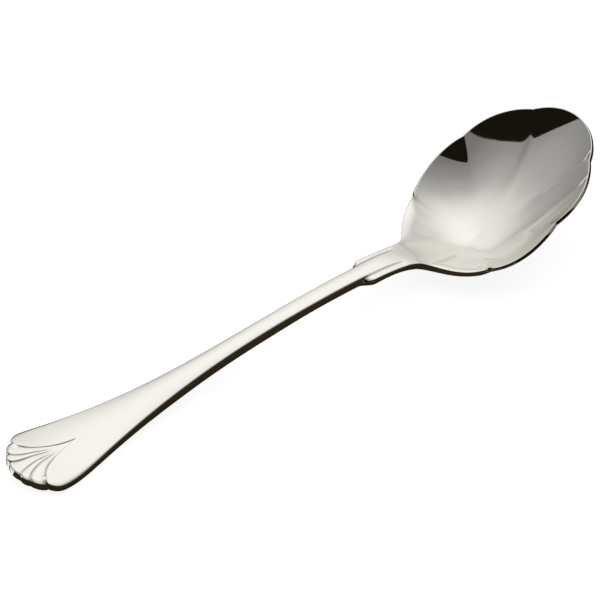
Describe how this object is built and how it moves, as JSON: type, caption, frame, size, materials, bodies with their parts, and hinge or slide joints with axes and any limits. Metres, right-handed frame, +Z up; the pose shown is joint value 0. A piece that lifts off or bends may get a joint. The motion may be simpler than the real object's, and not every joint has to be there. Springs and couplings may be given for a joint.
{
  "type": "sugar spoon",
  "caption": "Small table spoon with a scalloped, fluted oval bowl, a shouldered neck, a slim arched handle and a ribbed fan end, for serving sugar.",
  "frame": {"origin": "on the table, under the middle of the spoon's length and width as it lies at rest", "axes": "+X from the fan end to the tip of the bowl, +Y to the left of that, +Z up from the table"},
  "size_m": [0.1488, 0.035, 0.0222],
  "materials": {
    "polished_steel": "mirror polished stainless steel"
  },
  "bodies": {
    "root": {"bowl": "polished_steel", "neck": "polished_steel", "handle": "polished_steel", "fan_terminal": "polished_steel"}
  },
  "joints": []
}
